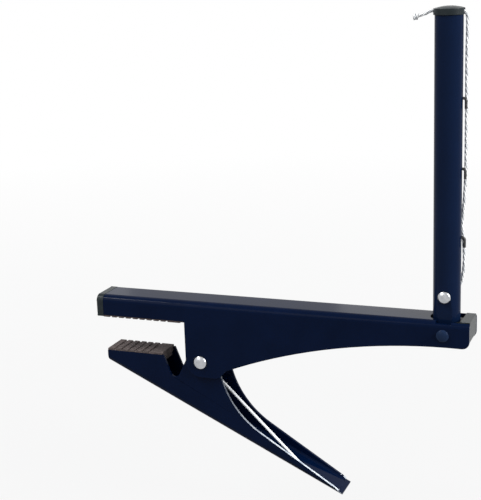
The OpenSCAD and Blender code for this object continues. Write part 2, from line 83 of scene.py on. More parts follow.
def place_camera():
    """A long lens from the front and the right, looking down on the arm."""
    ahead = Vector((-math.sin(YAW), math.cos(YAW), 0))
    aside = Vector((math.cos(YAW), math.sin(YAW), 0))
    up = Vector((0, 0, 1))
    look = ahead * math.cos(PITCH) - up * math.sin(PITCH)
    rise = ahead * math.sin(PITCH) + up * math.cos(PITCH)
    right = aside * math.cos(ROLL) + rise * math.sin(ROLL)
    top = rise * math.cos(ROLL) - aside * math.sin(ROLL)
    camera = placed("camera", bpy.data.cameras.new("camera"))
    camera.data.lens = LENS
    turn = Matrix((right, top, -look)).transposed().to_4x4()
    camera.matrix_world = Matrix.Translation(CAMERA_PLACE) @ turn
    bpy.context.scene.camera = camera


place_camera()


# ---------------------------------------------------------------- node helpers

def add(tree, kind, sockets=None, **settings):
    """A node with its settings, and each named socket linked or given its value."""
    node = tree.nodes.new(kind)
    for name, value in settings.items():
        setattr(node, name, value)
    for name, value in (sockets or {}).items():
        if isinstance(value, bpy.types.NodeSocket):
            tree.links.new(value, node.inputs[name])
        else:
            node.inputs[name].default_value = value
    return node


def maths(tree, operation, *values):
    """The result of one sum, whose values are sockets or numbers."""
    return add(tree, "ShaderNodeMath", dict(enumerate(values)), operation=operation).outputs[0]


def ramp(tree, factor, stops):
    """A colour ramp through (position, colour) stops."""
    node = add(tree, "ShaderNodeValToRGB", {"Fac": factor})
    elements = node.color_ramp.elements
    while len(elements) < len(stops):
        elements.new(0.5)
    for element, (position, colour) in zip(elements, stops):
        element.position = position
        element.color = (*colour, 1)
    return node.outputs["Color"]


def span(tree, value, low, high):
    """Maps 0 to 1 onto low to high."""
    return add(tree, "ShaderNodeMapRange", {"Value": value, "To Min": low, "To Max": high}
               ).outputs["Result"]


def mixed(tree, factor, first, second):
    """The mix of two colours, each a socket or a fixed colour."""
    node = add(tree, "ShaderNodeMix", data_type="RGBA")
    wanted = [factor, first, second]
    sockets = [node.inputs[0]] + [s for s in node.inputs if s.type == "RGBA"]
    for socket, value in zip(sockets, wanted):
        if isinstance(value, bpy.types.NodeSocket):
            tree.links.new(value, socket)
        else:
            socket.default_value = value
    return next(s for s in node.outputs if s.type == "RGBA")


# ---------------------------------------------------------------- materials

def new_material(name, **constants):
    """A material, its tree and its principled shader with the sockets that never vary."""
    material = bpy.data.materials.new(name)
    material.use_nodes = True
    tree = material.node_tree
    shader = tree.nodes["Principled BSDF"]
    for socket, value in constants.items():
        shader.inputs[socket.replace("_", " ")].default_value = value
    return material, tree, shader


def object_noise(tree, scale, detail=3.0, stretch=(1, 1, 1), rough=0.55):
    """Noise fixed to the piece; scale is in waves to the metre."""
    place = add(tree, "ShaderNodeTexCoord").outputs["Object"]
    place = add(tree, "ShaderNodeMapping", {"Vector": place, "Scale": stretch}).outputs["Vector"]
    return add(tree, "ShaderNodeTexNoise", {"Vector": place, "Scale": scale, "Detail": detail,
                                            "Roughness": rough}).outputs["Fac"]


def bump(tree, shader, height, depth, strength=1.0):
    """Bump of a depth in metres."""
    node = add(tree, "ShaderNodeBump", {"Height": height, "Distance": depth,
                                        "Strength": strength})
    tree.links.new(node.outputs["Normal"], shader.inputs["Normal"])


def gloss_paint():
    """Navy enamel on steel: a faint orange peel, a paler copy as painted light, and grey steel
    where the paint is worn, with a painted highlight.
    """
    material, tree, shader = new_material("navy_enamel", Specular_IOR_Level=0.04)
    cloud = object_noise(tree, 60)
    body = ramp(tree, cloud, ((0.3, (0.0005, 0.0040, 0.0185)), (0.7, (0.0009, 0.0052, 0.0235))))
    # A paler, bluer copy of the navy that stands for more light on a piece: painted light.
    painted_light = add(tree, "ShaderNodeAttribute", attribute_name="painted_light").outputs["Fac"]
    body = mixed(tree, painted_light, body, (0.009, 0.019, 0.048, 1))
    wear_and_highlight = add(tree, "ShaderNodeAttribute", attribute_name="wear_and_highlight").outputs["Fac"]
    # Bare grey steel, brighter than wear alone: worn paint and a painted highlight on the lever's
    # edges.
    worn_steel_and_highlight = ramp(tree, object_noise(tree, 300, detail=5),
                     ((0.35, (0.32, 0.36, 0.42)), (0.6, (0.60, 0.64, 0.68))))
    tree.links.new(mixed(tree, wear_and_highlight, body, worn_steel_and_highlight), shader.inputs["Base Color"])
    smear = object_noise(tree, 35, detail=5)
    tree.links.new(span(tree, smear, 0.07, 0.15), shader.inputs["Roughness"])
    peel = object_noise(tree, 420, detail=2)
    bump(tree, shader, peel, 0.00003, 0.25)
    return material


def moulded_plastic():
    """Dark olive-grey plastic with the fine grain of its mould."""
    material, tree, shader = new_material("grained_plastic", Specular_IOR_Level=0.08)
    cloud = object_noise(tree, 250, detail=4)
    colour = ramp(tree, cloud, ((0.3, (0.014, 0.018, 0.020)), (0.7, (0.020, 0.025, 0.027))))
    tree.links.new(colour, shader.inputs["Base Color"])
    grain = object_noise(tree, 3200, detail=2)
    tree.links.new(span(tree, grain, 0.26, 0.36), shader.inputs["Roughness"])
    bump(tree, shader, grain, 0.00003, 0.5)
    return material


def pad_rubber():
    """Brown-grey rubber, dull, with a gritty skin."""
    material, tree, shader = new_material("gritty_rubber", Specular_IOR_Level=0.35)
    cloud = object_noise(tree, 500, detail=5)
    colour = ramp(tree, cloud, ((0.3, (0.045, 0.034, 0.032)), (0.7, (0.11, 0.085, 0.08))))
    tree.links.new(colour, shader.inputs["Base Color"])
    grit = object_noise(tree, 1800, detail=3)
    tree.links.new(span(tree, grit, 0.7, 0.95), shader.inputs["Roughness"])
    bump(tree, shader, grit, 0.00012, 0.7)
    return material


def bright_nickel():
    """Nickel plate on a rivet, with the faint marks of the set that closed it."""
    material, tree, shader = new_material("bright_nickel", Metallic=1.0)
    cloud = object_noise(tree, 700, detail=3)
    colour = ramp(tree, cloud, ((0.3, (0.38, 0.39, 0.41)), (0.7, (0.50, 0.51, 0.53))))
    tree.links.new(colour, shader.inputs["Base Color"])
    marks = object_noise(tree, 1500, detail=4)
    tree.links.new(span(tree, marks, 0.14, 0.34), shader.inputs["Roughness"])
    bump(tree, shader, marks, 0.00004, 0.35)
    return material


def drawn_steel():
    """Bright zinc on spring wire, washers and sleeve, with very fine drawing lines."""
    material, tree, shader = new_material("drawn_steel", Metallic=0.15, Specular_IOR_Level=0.6)
    lines = object_noise(tree, 6000, detail=2)
    colour = ramp(tree, lines, ((0.3, (0.86, 0.87, 0.88)), (0.7, (0.92, 0.93, 0.94))))
    tree.links.new(colour, shader.inputs["Base Color"])
    tree.links.new(span(tree, lines, 0.36, 0.44), shader.inputs["Roughness"])
    bump(tree, shader, lines, 0.000004, 0.2)
    return material


def black_coating():
    """Satin black coating on the wire hooks."""
    material, tree, shader = new_material("black_coating", Specular_IOR_Level=0.5)
    cloud = object_noise(tree, 900, detail=3)
    colour = ramp(tree, cloud, ((0.3, (0.006, 0.006, 0.007)), (0.7, (0.014, 0.014, 0.015))))
    tree.links.new(colour, shader.inputs["Base Color"])
    tree.links.new(span(tree, cloud, 0.28, 0.42), shader.inputs["Roughness"])
    bump(tree, shader, cloud, 0.00002, 0.4)
    return material


def twisted_thread():
    """White cotton plies with painted shade in the groove between them, and fibres along each
    ply.
    """
    material, tree, shader = new_material("twisted_thread", Specular_IOR_Level=0.25,
                                          Sheen_Weight=0.3, Sheen_Roughness=0.5)
    ply = add(tree, "ShaderNodeAttribute", attribute_name="ply").outputs["Fac"]
    crest = add(tree, "ShaderNodeAttribute", attribute_name="crest").outputs["Fac"]
    fibres = object_noise(tree, 2600, detail=4, rough=0.7)
    pale = ramp(tree, fibres, ((0.3, (0.78, 0.78, 0.77)), (0.7, (0.92, 0.92, 0.91))))
    grey = ramp(tree, fibres, ((0.3, (0.50, 0.51, 0.52)), (0.7, (0.66, 0.67, 0.68))))
    plies = mixed(tree, maths(tree, "GREATER_THAN", ply, 1.5), pale, grey)
    # Near black towards the groove between plies: painted shade.
    groove_shade = ramp(tree, crest, ((0.18, (0, 0, 0)), (0.38, (1, 1, 1))))
    shade = mixed(tree, groove_shade, (0.05, 0.05, 0.055, 1), plies)
    tree.links.new(shade, shader.inputs["Base Color"])
    tree.links.new(span(tree, fibres, 0.75, 0.95), shader.inputs["Roughness"])
    bump(tree, shader, fibres, 0.0001, 0.6)
    return material


def dowel_wood():
    """Plain beech, with its grain up the dowel."""
    material, tree, shader = new_material("beech_dowel", Specular_IOR_Level=0.3)
    grain = object_noise(tree, 1200, detail=5, stretch=(1, 1, 0.08))
    colour = ramp(tree, grain, ((0.35, (0.36, 0.23, 0.12)), (0.65, (0.56, 0.40, 0.24))))
    tree.links.new(colour, shader.inputs["Base Color"])
    tree.links.new(span(tree, grain, 0.6, 0.8), shader.inputs["Roughness"])
    bump(tree, shader, grain, 0.00005, 0.5)
    return material


FINISHES = {
    "painted_steel": gloss_paint(),
    "moulded_plastic": moulded_plastic(),
    "pad_rubber": pad_rubber(),
    "bright_rivet_steel": bright_nickel(),
    "spring_steel": drawn_steel(),
    "hook_black": black_coating(),
    "cord_thread": twisted_thread(),
    "foot_dowel_wood": dowel_wood(),
}
SLOT_OF = {part["node"]: part["material_slot"] for part in frame["record"]["subparts"]}


# ---------------------------------------------------------------- meshes

def shade_by_angle(mesh, degrees):
    """Smooth shading, with every edge sharper than the angle kept crisp."""
    work = bmesh.new()
    work.from_mesh(mesh)
    for face in work.faces:
        face.smooth = True
    for edge in work.edges:
        edge.smooth = edge.calc_face_angle(0.0) < math.radians(degrees)
    work.to_mesh(mesh)
    work.free()


def outward(mesh):
    """Turns a closed mesh's faces outwards if they point in."""
    work = bmesh.new()
    work.from_mesh(mesh)
    if work.calc_volume(signed=True) < 0:
        bmesh.ops.reverse_faces(work, faces=work.faces)
    work.to_mesh(mesh)
    work.free()


def marked(mesh, label, test):
    """Gives each face what the test makes of its centre, in millimetres, and its normal."""
    layer = mesh.attributes.new(label, "FLOAT", "FACE")
    for face in mesh.polygons:
        layer.data[face.index].value = float(test(face.center / MM, face.normal))


def piece_from(name, vertices, faces, slot, smooth=35):
    """A new piece from points in millimetres."""
    mesh = bpy.data.meshes.new(name)
    mesh.from_pydata([Vector(v) * MM for v in vertices], [], faces)
    outward(mesh)
    shade_by_angle(mesh, smooth)
    mesh.materials.append(FINISHES[slot])
    piece = placed(name, mesh)
    return piece


# Points nearer than this are one point, in metres, and faces flatter than this are one face.
MERGE_REACH = 2e-6
ONE_PLANE = math.radians(0.1)
# Edges sharper than this are eased, in this many steps.
EASED_ANGLE = math.radians(30)
EASED_STEPS = 2
# Share of its easing that a point may lie off the skin before it is drawn back.
STRAY_SHARE = 0.6
# A face turned over by more than this angle, and larger than this area, is joined to its
# neighbours, in so many rounds at most.
FOLD_ANGLE = math.radians(175)
FOLD_AREA = 0.4 * MM * MM
FOLD_ROUNDS = 4


def cut_large_faces(work):
    """Cuts each face with more than four corners into triangles."""
    bmesh.ops.triangulate(work, faces=[face for face in work.faces if len(face.verts) > 4],
                          ngon_method="BEAUTY")


def drawn_in(mesh, skin, reach):
    """Sets every point that lies further than its reach from the skin back onto the skin."""
    for vertex in mesh.vertices:
        nearest, _, _, distance = skin.find_nearest(vertex.co)
        if distance > reach:
            vertex.co = nearest


def unfolded(mesh):
    """Joins each face that easing has turned over onto its neighbours, and cuts them anew."""
    work = bmesh.new()
    work.from_mesh(mesh)
    for _ in range(FOLD_ROUNDS):
        folds = [edge for edge in work.edges if edge.is_manifold
                 and edge.calc_face_angle(0.0) > FOLD_ANGLE
                 and min(face.calc_area() for face in edge.link_faces) > FOLD_AREA]
        if not folds:
            break
        bmesh.ops.dissolve_edges(work, edges=folds, use_verts=False)
        cut_large_faces(work)
    work.to_mesh(mesh)
    work.free()


def flat_faces_stay_flat(mesh):
    """Each corner point takes the normal of the largest face that it touches."""
    largest = {}
    for face in mesh.polygons:
        for corner in face.vertices:
            if face.area > largest.get(corner, (0.0, None))[0]:
                largest[corner] = (face.area, face.normal.copy())
    normals = [largest[i][1] if i in largest else Vector((0, 0, 1))
               for i in range(len(mesh.vertices))]
    mesh.normals_split_custom_set_from_vertices(normals)


def eased_copy(node, name, ease, body="root"):
    """A CAD piece with its facets joined, its edges eased and its round faces smooth."""
    mesh = frame["nodes"][node].data.copy()
    work = bmesh.new()
    work.from_mesh(mesh)
    skin = BVHTree.FromBMesh(work)
    bmesh.ops.remove_doubles(work, verts=work.verts, dist=MERGE_REACH)
    bmesh.ops.dissolve_limit(work, angle_limit=ONE_PLANE, verts=work.verts, edges=work.edges)
    cut_large_faces(work)
    for face in work.faces:
        face.smooth = True
    work.to_mesh(mesh)
    work.free()
    mesh.materials.clear()
    mesh.materials.append(FINISHES[SLOT_OF[node]])
    sharp = placed(name, mesh)
    soften = sharp.modifiers.new("eased edges", "BEVEL")
    soften.width = ease * MM
    soften.segments = EASED_STEPS
    soften.limit_method = "ANGLE"
    soften.angle_limit = EASED_ANGLE
    soften.use_clamp_overlap = False
    bpy.context.view_layer.update()
    ready = sharp.evaluated_get(bpy.context.evaluated_depsgraph_get())
    eased = bpy.data.meshes.new_from_object(ready)
    bpy.data.objects.remove(sharp)
    drawn_in(eased, skin, STRAY_SHARE * ease * MM)
    unfolded(eased)
    piece = bpy.data.objects.new(name, eased)
    bpy.context.scene.collection.objects.link(piece)
    flat_faces_stay_flat(eased)
    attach(piece, body)
    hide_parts(node)
    return piece


# ---------------------------------------------------------------- wire and cord trees

def socket_list(group, inputs):
    """Gives a node group its named inputs and its one geometry output."""
    for label, kind, value in inputs:
        socket = group.interface.new_socket(label, in_out="INPUT", socket_type=kind)
        if value is not None:
            socket.default_value = value
    group.interface.new_socket("Geometry", in_out="OUTPUT", socket_type="NodeSocketGeometry")


def end_tree(group, geometry, material):
    """Ends a node group: instances made real, the material set and the result given out."""
    whole = add(group, "GeometryNodeRealizeInstances", {"Geometry": geometry})
    done = add(group, "GeometryNodeSetMaterial", {"Geometry": whole.outputs["Geometry"],
                                                  "Material": material})
    out = group.nodes.new("NodeGroupOutput")
    group.links.new(done.outputs["Geometry"], out.inputs["Geometry"])
    return group


def wire_tree():
    """Sweeps a round or plied section along a curve, turning it as a rope is laid."""
    group = bpy.data.node_groups.new("wire along a route", "GeometryNodeTree")
    socket_list(group, (
        ("Route", "NodeSocketGeometry", None),
        ("Radius", "NodeSocketFloat", 0.00075),
        ("Sides", "NodeSocketInt", 24),
        ("Step", "NodeSocketFloat", 0.0004),
        ("Plies", "NodeSocketInt", 3),
        ("Groove", "NodeSocketFloat", 0.0),
        ("Turns to the metre", "NodeSocketFloat", 0.0),
        ("Material", "NodeSocketMaterial", None)))
    given = group.nodes.new("NodeGroupInput").outputs
    even = add(group, "GeometryNodeResampleCurve", {"Curve": given["Route"],
                                                    "Length": given["Step"]}, mode="LENGTH")
    length = group.nodes.new("GeometryNodeSplineParameter").outputs["Length"]
    turn = maths(group, "MULTIPLY", maths(group, "MULTIPLY", length,
                                          given["Turns to the metre"]), math.tau)
    laid = add(group, "GeometryNodeSetCurveTilt", {"Curve": even.outputs["Curve"],
                                                   "Tilt": turn})
    ring = add(group, "GeometryNodeCurvePrimitiveCircle", {"Resolution": given["Sides"],
                                                           "Radius": given["Radius"]})
    index = group.nodes.new("GeometryNodeInputIndex").outputs["Index"]
    share = maths(group, "DIVIDE", index, given["Sides"])
    ply = maths(group, "MULTIPLY", share, given["Plies"])
    which = maths(group, "MODULO", maths(group, "FLOOR", maths(group, "ADD", ply, 0.5)),
                  given["Plies"])
    crest = maths(group, "ABSOLUTE", maths(group, "COSINE",
                                           maths(group, "MULTIPLY", ply, math.pi)))
    depth = maths(group, "MULTIPLY", given["Groove"], maths(group, "SUBTRACT", 1.0, crest))
    place = group.nodes.new("GeometryNodeInputPosition").outputs["Position"]
    drawn = add(group, "ShaderNodeVectorMath", {0: place, "Scale": maths(
        group, "SUBTRACT", 1.0, depth)}, operation="SCALE").outputs["Vector"]
    plied = add(group, "GeometryNodeSetPosition", {"Geometry": ring.outputs["Curve"],
                                                   "Position": drawn})
    labelled = plied.outputs["Geometry"]
    for label, value in (("ply", which), ("crest", crest)):
        labelled = add(group, "GeometryNodeStoreNamedAttribute", {
            "Geometry": labelled, "Name": label, "Value": value},
            data_type="FLOAT", domain="POINT").outputs["Geometry"]
    swept = add(group, "GeometryNodeCurveToMesh", {"Curve": laid.outputs["Curve"],
                                                   "Profile Curve": labelled,
                                                   "Fill Caps": True})
    return end_tree(group, swept.outputs["Mesh"], given["Material"])


WIRE = wire_tree()


def hook_tree():
    """One hook swept along its route, with its head inside, repeated down the post."""
    group = bpy.data.node_groups.new("hooks down the post", "GeometryNodeTree")
    socket_list(group, (
        ("Route", "NodeSocketGeometry", None),
        ("Wire radius", "NodeSocketFloat", 0.000675),
        ("Head thickness", "NodeSocketFloat", 0.0011),
        ("Head place", "NodeSocketVector", (0, 0, 0)),
        ("Count", "NodeSocketInt", 3),
        ("First", "NodeSocketVector", (0, 0, 0)),
        ("Step down", "NodeSocketVector", (0, 0, -0.0323)),
        ("Material", "NodeSocketMaterial", None)))
    given = group.nodes.new("NodeGroupInput").outputs
    wire = add(group, "GeometryNodeGroup", node_tree=WIRE)
    for label, value in (("Route", given["Route"]), ("Radius", given["Wire radius"]),
                         ("Material", given["Material"])):
        group.links.new(value, wire.inputs[label])
    wire.inputs["Step"].default_value = 0.0002
    head = add(group, "GeometryNodeMeshCylinder", {
        "Vertices": 24, "Radius": maths(group, "MULTIPLY", given["Wire radius"], 2.0),
        "Depth": given["Head thickness"]})
    turned = add(group, "GeometryNodeTransform", {
        "Geometry": head.outputs["Mesh"], "Rotation": (0, math.pi / 2, 0),
        "Translation": given["Head place"]})
    hook = group.nodes.new("GeometryNodeJoinGeometry")
    group.links.new(wire.outputs["Geometry"], hook.inputs["Geometry"])
    group.links.new(turned.outputs["Geometry"], hook.inputs["Geometry"])
    row = add(group, "GeometryNodeMeshLine", {"Count": given["Count"],
                                              "Start Location": given["First"],
                                              "Offset": given["Step down"]}, mode="OFFSET")
    hooks = add(group, "GeometryNodeInstanceOnPoints", {"Points": row.outputs["Mesh"],
                                                        "Instance": hook.outputs["Geometry"]})
    return end_tree(group, hooks.outputs["Instances"], given["Material"])


# Below 1, a dome is fuller at its rim than part of an ellipse.
DOME_FULLNESS = 0.86


def rivet_tree():
    """A rivet across the arm: a shank, and a domed head at each end of it."""
    group = bpy.data.node_groups.new("domed rivet", "GeometryNodeTree")
    socket_list(group, (
        ("Head radius", "NodeSocketFloat", 0.0036),
        ("Head height", "NodeSocketFloat", 0.0018),
        ("Shank radius", "NodeSocketFloat", 0.0025),
        ("Front seat", "NodeSocketVector", (0, -0.01, 0)),
        ("Grip", "NodeSocketFloat", 0.02),
        ("Segments", "NodeSocketInt", 64),
        ("Rings", "NodeSocketInt", 18),
        ("Material", "NodeSocketMaterial", None)))
    given = group.nodes.new("NodeGroupInput").outputs
    sheet = add(group, "GeometryNodeMeshGrid", {
        "Size X": 1.0, "Size Y": 1.0,
        "Vertices X": maths(group, "ADD", given["Segments"], 1.0),
        "Vertices Y": given["Rings"]})
    place = group.nodes.new("GeometryNodeInputPosition").outputs["Position"]
    flat = add(group, "ShaderNodeSeparateXYZ", {"Vector": place})
    around = maths(group, "MULTIPLY", maths(group, "ADD", flat.outputs["X"], 0.5), math.tau)
    down = maths(group, "MULTIPLY", maths(group, "ADD", flat.outputs["Y"], 0.5), math.pi / 2)
    radius = maths(group, "MULTIPLY", given["Head radius"],
                   maths(group, "POWER", maths(group, "SINE", down), DOME_FULLNESS))
    height = maths(group, "MULTIPLY", given["Head height"], maths(group, "COSINE", down))
    dome = add(group, "ShaderNodeCombineXYZ", {
        "X": maths(group, "MULTIPLY", radius, maths(group, "COSINE", around)),
        "Y": maths(group, "MULTIPLY", height, -1.0),
        "Z": maths(group, "MULTIPLY", radius, maths(group, "SINE", around))})
    head = add(group, "GeometryNodeSetPosition", {"Geometry": sheet.outputs["Mesh"],
                                                  "Position": dome.outputs["Vector"]})
    head = add(group, "GeometryNodeMergeByDistance", {"Geometry": head.outputs["Geometry"],
                                                      "Distance": 1e-6})
    ends = add(group, "GeometryNodeMeshLine", {
        "Count": 2, "Start Location": given["Front seat"],
        "Offset": add(group, "ShaderNodeCombineXYZ", {"Y": given["Grip"]}).outputs["Vector"]},
        mode="OFFSET")
    index = group.nodes.new("GeometryNodeInputIndex").outputs["Index"]
    about = add(group, "ShaderNodeCombineXYZ", {"Z": maths(group, "MULTIPLY", index, math.pi)})
    heads = add(group, "GeometryNodeInstanceOnPoints", {
        "Points": ends.outputs["Mesh"], "Instance": head.outputs["Geometry"],
        "Rotation": about.outputs["Vector"]})
    shank = add(group, "GeometryNodeMeshCylinder", {
        "Vertices": 48, "Radius": given["Shank radius"], "Depth": given["Grip"]})
    middle = add(group, "ShaderNodeCombineXYZ", {"Y": maths(group, "MULTIPLY", given["Grip"],
                                                            0.5)})
    centre = add(group, "ShaderNodeVectorMath", {0: given["Front seat"],
                                                 1: middle.outputs["Vector"]})
    shank = add(group, "GeometryNodeTransform", {
        "Geometry": shank.outputs["Mesh"], "Rotation": (math.pi / 2, 0, 0),
        "Translation": centre.outputs["Vector"]})
    both = group.nodes.new("GeometryNodeJoinGeometry")
    group.links.new(heads.outputs["Instances"], both.inputs["Geometry"])
    group.links.new(shank.outputs["Geometry"], both.inputs["Geometry"])
    return end_tree(group, both.outputs["Geometry"], given["Material"])


def grown(name, group, slot, data, smooth, **values):
    """A piece made by a node group from named values, then turned into a plain mesh."""
    seed = placed(name, data)
    modifier = seed.modifiers.new(group.name, "NODES")
    modifier.node_group = group
    values["Material"] = FINISHES[slot]
    for socket in group.interface.items_tree:
        label = socket.name.replace(" ", "_")
        if socket.in_out == "INPUT" and (label in values or socket.name in values):
            modifier[socket.identifier] = values.get(label, values.get(socket.name))
    bpy.context.view_layer.update()
    ready = seed.evaluated_get(bpy.context.evaluated_depsgraph_get())
    mesh = bpy.data.meshes.new_from_object(ready)
    bpy.data.objects.remove(seed)
    outward(mesh)
    shade_by_angle(mesh, smooth)
    piece = placed(name, mesh)
    return piece


def route_curve(name, points, closed=False):
    """A curve straight through points given in millimetres."""
    curve = bpy.data.curves.new(name, "CURVE")
    curve.dimensions = "3D"
    spline = curve.splines.new("POLY")
    spline.points.add(len(points) - 1)
    for target, point in zip(spline.points, points):
        target.co = (*(Vector(point) * MM), 1)
    spline.use_cyclic_u = closed
    return curve


def catmull(a, b, c, d, t):
    """A point between b and c of the smooth curve through four points."""
    return 0.5 * (2 * b + (c - a) * t + (2 * a - 5 * b + 4 * c - d) * t * t
                  + (3 * b - a - 3 * c + d) * t ** 3)


def smooth_route(points, steps):
    """A smooth curve through all the points, the given number of steps apart."""
    points = [Vector(p) for p in points]
    last = len(points) - 1
    out = []
    for i in range(last):
        around = [points[j] for j in (max(i - 1, 0), i, i + 1, min(i + 2, last))]
        out += [catmull(*around, s / steps) for s in range(steps)]
    return out + [points[last]]


# ---------------------------------------------------------------- tension cord

CORD_D = 1.5
LAY_LENGTH = 8.4
CORD_LAY = {"Groove": 0.24, "Turns_to_the_metre": -1 / (LAY_LENGTH * MM)}
# From the upper knot over the cap, down the post and round behind it: across and along from
# the post's axis, height from the table.
CORD_ROUTE = [
    (-13.4, 0, 152.0), (-11, 0, 152.7), (-8.7, 0, 153.7), (-6.8, 0, 154.1), (-2, 0, 154.05),
    (2, 0, 154.05), (5.4, 0, 154.05), (7.0, 0.1, 153.5), (7.9, 0.3, 152.2), (8.1, 0.6, 150),
    (8.0, 1.3, 144), (7.8, 1.8, 136), (7.8, 1.8, 124), (7.9, 1.8, 112), (7.9, 1.8, 100),
    (7.9, 1.8, 88), (7.8, 1.8, 78), (7.3, 2.4, 69), (6.3, 4.2, 60), (6.0, 4.6, 55),
    (6.6, 3.8, 50), (7.3, 2.8, 44), (7.5, 2.5, 38), (6.6, 3.8, 31), (5.2, 5.6, 26.4),
    (3.4, 7.0, 24.3)]
POST_RIVET_Z = 22.5
LOOP_R = 2.65
LOOP_Y = 7.4
LOOP_LAY_TURNS = -2
KNOT_TURNS = 2.2
KNOT_PITCH = 1.05
KNOT_WRAP_R = 0.95
KNOT_WIRE_R = 0.62
KNOT_START = 0.5


def make_cord():
    """The cord, the knot on its upper end and the loop that ties its lower end."""
    route = smooth_route([(POST_X + x, y, z) for x, y, z in reversed(CORD_ROUTE)], 6)
    cord = grown("twisted_cord", WIRE, "cord_thread", route_curve("cord_route", route),
                 smooth=80, Radius=CORD_D / 2 * MM, **CORD_LAY)
    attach(cord, "root")
    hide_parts("tension_cord")

    top, run = route[-1], (route[-1] - route[-2]).normalized()
    side = run.cross(Vector((0, 1, 0))).normalized()
    along = side.cross(run)
    steps = 90
    knot_path = []
    for i in range(steps + 1):
        share = i / steps
        swell = min(1, share * 8, (1 - share) * 8)
        angle = math.tau * KNOT_TURNS * share
        knot_path.append(top + run * (KNOT_START + KNOT_PITCH * KNOT_TURNS * share)
                         + KNOT_WRAP_R * swell
                         * (side * math.cos(angle) + along * math.sin(angle)))
    knot = grown("stopper_knot", WIRE, "cord_thread", route_curve("knot_route", knot_path),
                 smooth=80, Radius=KNOT_WIRE_R * MM, **CORD_LAY)
    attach(knot, "root")
    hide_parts("cord_top_knot")

    circle = [Vector((POST_X + LOOP_R * math.cos(a), LOOP_Y, POST_RIVET_Z + LOOP_R * math.sin(a)))
              for a in (math.tau * i / 96 for i in range(96))]
    loop = grown("rivet_loop", WIRE, "cord_thread", route_curve("loop_route", circle, True),
                 smooth=80, Radius=CORD_D / 2 * MM, Groove=CORD_LAY["Groove"],
                 Turns_to_the_metre=LOOP_LAY_TURNS / (math.tau * LOOP_R * MM))
    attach(loop, "root")
    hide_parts("cord_end_loop")


make_cord()


# ---------------------------------------------------------------- post

# How much of the paler paint, painted light, shows on the post.
POST_PAINTED_LIGHT = 0.25
POST_SIDES = 144
POST_LIP = 0.15
FOOT_RINGS = 40
FOOT_RING_STEP = 0.8
UPPER_RINGS = 14
# The higher this power, the crisper the edge between a pressed face and the round.
PRESS_CRISP = 60


def pressed(radius, flat, angle):
    """A point of the post's section, round but pressed flat in front and behind."""
    x, y = radius * math.cos(angle), radius * math.sin(angle)
    if flat is not None and abs(y) > 1e-6:
        y = math.copysign((abs(y) ** -PRESS_CRISP + flat ** -PRESS_CRISP)
                          ** (-1 / PRESS_CRISP), y)
    return x, y


def flat_at(z):
    """Distance of the pressed faces from mid-width at a height, or None where it is round."""
    if z > PRESS_TOP + PRESS_RUNOUT:
        return None
    return PRESSED_FLAT + PRESS_SLOPE * max(0, z - PRESS_TOP)


def make_post():
    """The post: one tube, round above and pressed flat at its foot."""
    sides, lip = POST_SIDES, POST_LIP
    heights = [POST_LOW + FOOT_RING_STEP * i for i in range(FOOT_RINGS)]
    heights += [heights[-1] + (POST_TOP - heights[-1]) * i / UPPER_RINGS
                for i in range(1, UPPER_RINGS + 1)]

    def ring(z, inward):
        """The section's points at a height, moved in from the outside."""
        flat = flat_at(z)
        return [(POST_X + x, y, z) for x, y in (
            pressed(POST_R - inward, flat and flat - inward, math.tau * k / sides)
            for k in range(sides))]

    rings = [ring(POST_LOW, lip), ring(POST_LOW + lip, 0), ring(POST_LOW + 1.5 * lip, 0)]
    rings += [ring(z, 0) for z in heights[1:-1]]
    rings += [ring(POST_TOP - 1.5 * lip, 0), ring(POST_TOP - lip, 0), ring(POST_TOP, lip)]
    rings += [ring(z, POST_WALL) for z in reversed(heights)]
    count = len(rings)
    faces = [(i * sides + k, i * sides + (k + 1) % sides,
              (i + 1) % count * sides + (k + 1) % sides, (i + 1) % count * sides + k)
             for i in range(count) for k in range(sides)]
    post = piece_from("post", [v for r in rings for v in r], faces, "painted_steel", 35)
    # The whole post takes the paler paint: painted light.
    marked(post.data, "painted_light", lambda centre, normal: POST_PAINTED_LIGHT)
    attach(post, "root")
    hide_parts("post_tube")


make_post()


# ---------------------------------------------------------------- rivets and hooks

RIVETS = {
    # node: (x, z, front seat, rear seat, head radius, head height, shank radius)
    "pivot_rivet": (PIVOT[0], PIVOT[1], -ARM_HALF, ARM_HALF, 3.6, 1.8, 2.5),
    "post_rivet": (POST_X, POST_RIVET_Z, -6.36, 8.2, 3.05, 1.4, 1.8),
    "foot_rivet": (POST_X, 4.8, -ARM_HALF, ARM_HALF, 3.05, 1.4, 1.8),
}


def make_rivets():
    """The three rivets, each across the arm or the post."""
    tree = rivet_tree()
    for node, (x, z, front, rear, head_r, head_h, shank_r) in RIVETS.items():
        rivet = grown("domed_" + node, tree, SLOT_OF[node],
                      bpy.data.meshes.new("domed_" + node), smooth=60,
                      Head_radius=head_r * MM, Head_height=head_h * MM,
                      Shank_radius=shank_r * MM, Front_seat=Vector((x, front, z)) * MM,
                      Grip=(rear - front) * MM)
        # The painted rivet takes the paler paint too: painted light on its dome.
        if SLOT_OF[node] == "painted_steel":
            marked(rivet.data, "painted_light", lambda centre, normal: True)
        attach(rivet, "root")
        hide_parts(node)


make_rivets()

HOOK_HIGH = 115.0
HOOK_STEP = 32.3
HOOK_R = 0.675
HOOK_BEND_R = 1.1
HOOK_REACH = 8.0
HOOK_DROP = 3.6
HOOK_HEAD = 1.1
HOOK_SLACK = 0.3


